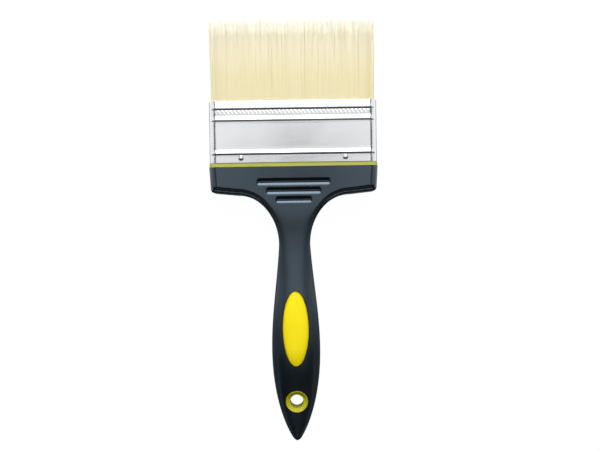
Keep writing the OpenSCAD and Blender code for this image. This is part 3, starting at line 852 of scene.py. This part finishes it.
def makeBristles(name, zone, seed):
    plan = plantStrands(zone, seed)
    points, faces = makeStrand()
    places, share, outward = growStrands(plan, points)
    allFaces = []
    for k in range(len(places)):
        allFaces.extend([[corner + k * len(points) for corner in face] for face in faces])
    mesh = bpy.data.meshes.new(name)
    mesh.from_pydata(places.reshape(-1, 3).tolist(), [], allFaces)
    for key, values in (("tone", plan["tone"]), ("along", share), ("inner", plan["inner"])):
        attribute = mesh.attributes.new(key, "FLOAT", "POINT")
        attribute.data.foreach_set("value", np.broadcast_to(values, share.shape).astype(np.float32).ravel())
    attribute = mesh.attributes.new("lay", "FLOAT_VECTOR", "POINT")
    attribute.data.foreach_set("vector", outward.astype(np.float32).ravel())
    piece = bpy.data.objects.new(name, mesh)
    bpy.context.scene.collection.objects.link(piece)
    pickOnly(piece)
    smoothUnder(bristleSizes["smoothUnder"])
    return piece


# Materials

noiseLow, noiseHigh = 0.3, 0.7  # most of a noise lies between these


class Finish:
    def __init__(self, name):
        self.material = bpy.data.materials.new(name)
        self.material.use_nodes = True
        self.tree = self.material.node_tree
        self.shader = self.tree.nodes["Principled BSDF"]
        self.coords = self.tree.nodes.new("ShaderNodeTexCoord").outputs["Object"]

    def add(self, kind, **settings):
        node = self.tree.nodes.new(kind)
        for key, value in settings.items():
            setattr(node, key, value)
        return node

    def link(self, source, target):
        self.tree.links.new(source, target)

    # A socket takes a link from another node, or a fixed value
    def feed(self, value, socket):
        if hasattr(value, "node"):
            self.link(value, socket)
        else:
            socket.default_value = value

    def stretched(self, scale):
        node = self.add("ShaderNodeMapping")
        node.inputs["Scale"].default_value = scale
        self.link(self.coords, node.inputs["Vector"])
        return node.outputs["Vector"]

    def noise(self, scale, detail, stretch=None):
        node = self.add("ShaderNodeTexNoise")
        node.inputs["Scale"].default_value = scale
        node.inputs["Detail"].default_value = detail
        self.link(self.stretched(stretch) if stretch else self.coords, node.inputs["Vector"])
        return node.outputs["Fac"]

    def attribute(self, name):
        return self.add("ShaderNodeAttribute", attribute_name=name).outputs["Fac"]

    def math(self, operation, a, b):
        node = self.add("ShaderNodeMath", operation=operation)
        self.feed(a, node.inputs[0])
        self.feed(b, node.inputs[1])
        return node.outputs[0]

    def axis(self, name):
        node = self.add("ShaderNodeSeparateXYZ")
        self.link(self.coords, node.inputs["Vector"])
        return node.outputs[name]

    def vector(self, operation, a, b=None, scale=None):
        node = self.add("ShaderNodeVectorMath", operation=operation)
        self.link(a, node.inputs[0])
        if b is not None:
            self.link(b, node.inputs[1])
        if scale is not None:
            node.inputs["Scale"].default_value = scale
        return node.outputs["Vector"]

    def span(self, source, low, high, fromLow=0, fromHigh=1):
        node = self.add("ShaderNodeMapRange")
        node.inputs["From Min"].default_value = fromLow
        node.inputs["From Max"].default_value = fromHigh
        node.inputs["To Min"].default_value = low
        node.inputs["To Max"].default_value = high
        self.link(source, node.inputs["Value"])
        return node.outputs["Result"]

    def ramp(self, source, *stops):
        node = self.add("ShaderNodeValToRGB")
        while len(node.color_ramp.elements) < len(stops):
            node.color_ramp.elements.new(0.5)
        for element, (position, colour) in zip(node.color_ramp.elements, stops):
            element.position = position
            element.color = (*colour, 1)
        self.link(source, node.inputs["Fac"])
        return node.outputs["Color"]

    # From the low to the high places of a noise
    def spanNoise(self, noise, low, high):
        return self.span(noise, low, high, noiseLow, noiseHigh)

    def tint(self, noise, dark, light):
        return self.ramp(noise, (noiseLow, dark), (noiseHigh, light))

    def blend(self, factor, a, b):
        node = self.add("ShaderNodeMix", data_type="RGBA")
        self.feed(factor, node.inputs[0])
        self.feed(a, node.inputs[6])
        self.feed(b, node.inputs[7])
        return node.outputs[2]

    def bump(self, height, depth, strength):
        node = self.add("ShaderNodeBump")
        node.inputs["Strength"].default_value = strength
        node.inputs["Distance"].default_value = depth * mm
        self.link(height, node.inputs["Height"])
        self.link(node.outputs["Normal"], self.shader.inputs["Normal"])

    def set(self, **values):
        for key, value in values.items():
            self.feed(value, self.shader.inputs[key.replace("_", " ")])


# What the glossy head and the dull neck add to the roughness, and where, in millimetres down from the collar
rubberSheen = {"headGloss": -0.13, "neckDull": 0.16, "headEndsAt": 18, "neckFromAt": 36, "neckEndsAt": 58,
               "gripFromAt": 88}


def softTouchRubber():
    f = Finish("softTouchRubber")
    r = rubberSheen
    cloud = f.noise(60, 4)
    grain = f.noise(2600, 2)
    colour = f.tint(cloud, (0.0018, 0.0024, 0.0030), (0.0028, 0.0036, 0.0044))
    roughness = f.math("ADD", f.spanNoise(cloud, 0.30, 0.36), f.span(grain, -0.03, 0.03))
    down = f.math("SUBTRACT", collarLow, f.axis("Y"))
    headPart = f.span(down, r["headGloss"], r["neckDull"], r["headEndsAt"] * mm, r["neckFromAt"] * mm)
    gripPart = f.span(down, 0, -r["neckDull"], r["neckEndsAt"] * mm, r["gripFromAt"] * mm)
    roughness = f.math("ADD", roughness, f.math("ADD", headPart, gripPart))
    f.set(Base_Color=colour, Roughness=roughness, IOR=1.6, Specular_IOR_Level=1.0,
          Specular_Tint=(0.62, 0.81, 1.0, 1))
    f.bump(grain, 0.015, 0.4)
    return f.material


# The pads' bright yellow gives way to the painted shade of the collar and the ring between these distances
# from their middle, in millimetres
paintedShadeReach = {"near": 24, "far": 27}


def yellowPlastic():
    f = Finish("yellowPlastic")
    cloud = f.noise(90, 3)
    grain = f.noise(1800, 2)
    pad = f.tint(cloud, (0.94, 0.755, 0.005), (0.97, 0.795, 0.008))
    # Painted shade: the collar and the ring are the pads' plastic, coloured darker and duller
    collar = f.tint(cloud, (0.44, 0.45, 0.09), (0.47, 0.48, 0.10))
    ring = f.tint(cloud, (0.47, 0.44, 0.008), (0.51, 0.48, 0.012))
    along = f.math("SUBTRACT", f.axis("Y"), padY)  # the collar and the ring take a darker, duller yellow: painted shade
    near, far = paintedShadeReach["near"] * mm, paintedShadeReach["far"] * mm
    colour = f.blend(f.span(along, 0, 1, near, far), pad, collar)
    colour = f.blend(f.span(along, 1, 0, -far, -near), colour, ring)
    roughness = f.spanNoise(cloud, 0.34, 0.42)
    f.set(Base_Color=colour, Roughness=roughness, Specular_IOR_Level=0.18)
    f.bump(grain, 0.008, 0.3)
    return f.material


def tinPlate():
    f = Finish("tinPlate")
    streak = f.noise(900, 3, (0.04, 1, 1))
    cloud = f.noise(45, 3)
    colour = f.tint(cloud, (0.76, 0.77, 0.78), (0.81, 0.82, 0.83))
    roughness = f.math("ADD", f.spanNoise(streak, 0.19, 0.23), f.spanNoise(cloud, -0.02, 0.02))
    f.set(Base_Color=colour, Roughness=roughness, Metallic=1.0)
    f.bump(f.math("ADD", f.span(streak, 0, 0.04), cloud), 0.06, 0.5)
    return f.material


def nailSteel():
    f = Finish("nailSteel")
    cloud = f.noise(700, 3)
    colour = f.tint(cloud, (0.62, 0.63, 0.64), (0.76, 0.77, 0.78))
    f.set(Base_Color=colour, Roughness=f.spanNoise(cloud, 0.2, 0.3), Metallic=1.0)
    f.bump(cloud, 0.006, 0.3)
    return f.material


def creamFilament():
    f = Finish("creamFilament")
    tone = f.span(f.attribute("tone"), 0, 1, -2, 2)
    along = f.attribute("along")
    low = f.ramp(tone, (0.0, (0.70, 0.61, 0.34)), (0.5, (0.74, 0.655, 0.395)), (1.0, (0.77, 0.70, 0.455)))
    high = f.ramp(tone, (0.0, (0.73, 0.67, 0.48)), (0.5, (0.755, 0.70, 0.54)), (1.0, (0.78, 0.735, 0.60)))
    colour = f.blend(f.span(along, 0, 1, 0.3, 1), low, high)
    colour = f.blend(f.span(along, 0, 1, 0.85, 1), colour, (0.80, 0.77, 0.67, 1))  # the tips are paler
    fleck = f.noise(1500, 2, (1, 0.05, 1))
    own = f.add("ShaderNodeNewGeometry").outputs["Normal"]
    lay = f.add("ShaderNodeAttribute", attribute_name="lay").outputs["Vector"]
    leaning = f.vector("ADD", f.vector("SCALE", own, scale=0.2), lay)
    # Painted light: the filaments glow a little, more towards the tips and on the inner layers, lifting the
    # shade in the gaps between the outer ones
    paintedGlow = f.math("ADD", f.span(along, 0.02, 0.04, 0.2, 0.85), f.span(f.attribute("inner"), 0, 0.15))
    f.set(Base_Color=colour, Roughness=f.spanNoise(fleck, 0.4, 0.55), Specular_IOR_Level=0.3,
          Emission_Color=(1, 0.93, 0.68, 1), Emission_Strength=paintedGlow,
          Normal=f.vector("NORMALIZE", leaning))
    return f.material


def settingResin():
    f = Finish("settingResin")
    cloud = f.noise(160, 4)
    colour = f.tint(cloud, (0.30, 0.17, 0.06), (0.42, 0.27, 0.11))
    f.set(Base_Color=colour, Roughness=f.spanNoise(cloud, 0.18, 0.35))
    f.bump(cloud, 0.1, 0.3)
    return f.material


def spacerWood():
    f = Finish("spacerWood")
    grain = f.noise(700, 5, (0.05, 1, 1))
    colour = f.tint(grain, (0.42, 0.28, 0.13), (0.62, 0.46, 0.26))
    f.set(Base_Color=colour, Roughness=f.spanNoise(grain, 0.55, 0.75))
    f.bump(grain, 0.08, 0.5)
    return f.material


def paleFloor():
    f = Finish("paleFloor")
    cloud = f.noise(3, 3)
    colour = f.tint(cloud, (0.035, 0.035, 0.035), (0.04, 0.04, 0.04))
    f.set(Base_Color=colour, Roughness=0.9, Specular_IOR_Level=0.0,
          Emission_Color=(1, 1, 1, 1), Emission_Strength=0.98)
    return f.material


# Pieces

rubber, yellow, tin, steel = softTouchRubber(), yellowPlastic(), tinPlate(), nailSteel()
for maker, finish, slotName, node in (
        (makeGrip, rubber, "grip_rubber", "handle_grip"),
        (makeCore, yellow, "core_plastic", "handle_core"),
        (makeFerrule, tin, "ferrule_metal", "ferrule"),
        (makeNails, steel, "nail_steel", "ferrule_nails")):
    piece = maker()
    finishPiece(piece, finish, node)
    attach(piece, "handle")
print("handle and ferrule made")

filament = creamFilament()
for name, zone, seed in (("bristlesFront", 1, 21), ("bristlesMiddle", 0, 22), ("bristlesRear", -1, 23)):
    piece = makeBristles(name, zone, seed)
    node = "bristle_bundle_" + name[len("bristles"):].lower()
    finishPiece(piece, filament, node)
    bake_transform(piece)
print("bristles made")

for node, material in (("resin_setting", settingResin()), ("spacer_strip_front", spacerWood()),
                       ("spacer_strip_rear", spacerWood())):
    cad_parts[node].material_slots[0].material = material


# Floor, light and camera, in metres

stageSizes = {"floor": 160, "cameraHeight": 0.5, "cameraX": 0.0034, "cameraY": 0.003, "roll": -0.85,
              "lens": 49.6, "sensor": 36, "clip": 0.01}
roomGlow = {"From Min": -0.3, "From Max": 0.1, "To Min": 0.16, "To Max": 0.02}
roomTint = (0.78, 0.93, 1, 1)

clearSelection()
bpy.ops.mesh.primitive_plane_add(size=stageSizes["floor"], location=(0, 0, gripLow.z))
floor = namePiece("floor")
floor.data.materials.append(paleFloor())
floor.visible_glossy = False
floor.visible_diffuse = False

# Soft light panels; those with two sides stand left and right of the brush alike
panels = {
    "overhead": {"place": (0, -0.145, 1.0), "aim": (0, -0.145, 0), "size": (1.0, 0.39), "glow": 0.82},
    "overSide": {"place": (0.2725, 0.1075, 1.0), "aim": (0.2725, 0.1075, 0), "size": (0.455, 0.115),
                 "glow": 0.94, "sides": (-1, 1)},
    "overFerrule": {"place": (0, 0.3125, 1.0), "aim": (0, 0.3125, 0), "size": (1.2, 0.295), "glow": 0.97},
    "tipHigh": {"place": (0, 0.91, 1.0), "aim": (0, 0.91, 0), "size": (1.3, 0.90), "glow": 4.6},
    "tipLow": {"place": (0, 1.35, 0.52), "aim": (0, 0.35, 0.52), "size": (1.3, 0.94), "glow": 4.6},
    "side": {"place": (1.1, 0.45, -0.10), "aim": (0, 0.45, -0.10), "size": (0.90, 1.8),
             "glow": 1.0, "sides": (-1, 1)},
    "farFoot": {"place": (0, -1.5, 0.40), "aim": (0, 0, 0.40), "size": (3.0, 0.50), "glow": 0.22},
    "sideFoot": {"place": (2.0, -1.1, 0.40), "aim": (0, 0, 0.40), "size": (1.6, 0.50),
                 "glow": 0.35, "sides": (-1, 1)},
    "sideFill": {"place": (0.78, -0.03, 0.76), "aim": (0, -0.03, 0), "size": (0.26, 0.50),
                 "glow": 0.5, "sides": (-1, 1)},
}


def addPanel(name, panel, side):
    flip = Vector((side, 1, 1))
    place = Vector(panel["place"]) * flip
    aim = Vector(panel["aim"]) * flip
    clearSelection()
    bpy.ops.object.light_add(type="AREA", location=place)
    lamp = bpy.context.object
    lamp.name = name
    lamp.data.shape = "RECTANGLE"
    lamp.data.size, lamp.data.size_y = panel["size"]
    lamp.data.energy = panel["glow"] * math.pi * panel["size"][0] * panel["size"][1]
    lamp.rotation_euler = (place - aim).to_track_quat("Z", "Y").to_euler()
    lamp.visible_camera = False


for name, panel in panels.items():
    for side in panel.get("sides", (1,)):
        addPanel(name, panel, side)

# Dim room, a little lighter below, with a white backdrop behind the floor
world = bpy.data.worlds.new("studio")
bpy.context.scene.world = world
world.use_nodes = True
room = world.node_tree
dim = room.nodes["Background"]
dim.inputs["Color"].default_value = roomTint
heading = room.nodes.new("ShaderNodeTexCoord").outputs["Generated"]
upward = room.nodes.new("ShaderNodeSeparateXYZ")
glow = room.nodes.new("ShaderNodeMapRange")
for key, value in roomGlow.items():
    glow.inputs[key].default_value = value
backdrop = room.nodes.new("ShaderNodeBackground")
backdrop.inputs["Color"].default_value = (1, 1, 1, 1)
seen = room.nodes.new("ShaderNodeLightPath").outputs["Is Camera Ray"]
either = room.nodes.new("ShaderNodeMixShader")
room.links.new(heading, upward.inputs["Vector"])
room.links.new(upward.outputs["Z"], glow.inputs["Value"])
room.links.new(glow.outputs["Result"], dim.inputs["Strength"])
room.links.new(seen, either.inputs["Fac"])
room.links.new(dim.outputs["Background"], either.inputs[1])
room.links.new(backdrop.outputs["Background"], either.inputs[2])
room.links.new(either.outputs["Shader"], room.nodes["World Output"].inputs["Surface"])

clearSelection()
bpy.ops.object.camera_add(location=(stageSizes["cameraX"], stageSizes["cameraY"],
                                    midZ + stageSizes["cameraHeight"]),
                          rotation=(0, 0, math.radians(stageSizes["roll"])))
camera = bpy.context.object
camera.data.sensor_width = stageSizes["sensor"]
camera.data.lens = stageSizes["lens"]
camera.data.clip_start = stageSizes["clip"]
bpy.context.scene.camera = camera
bpy.context.scene.view_settings.view_transform = "Standard"
print("stage set")
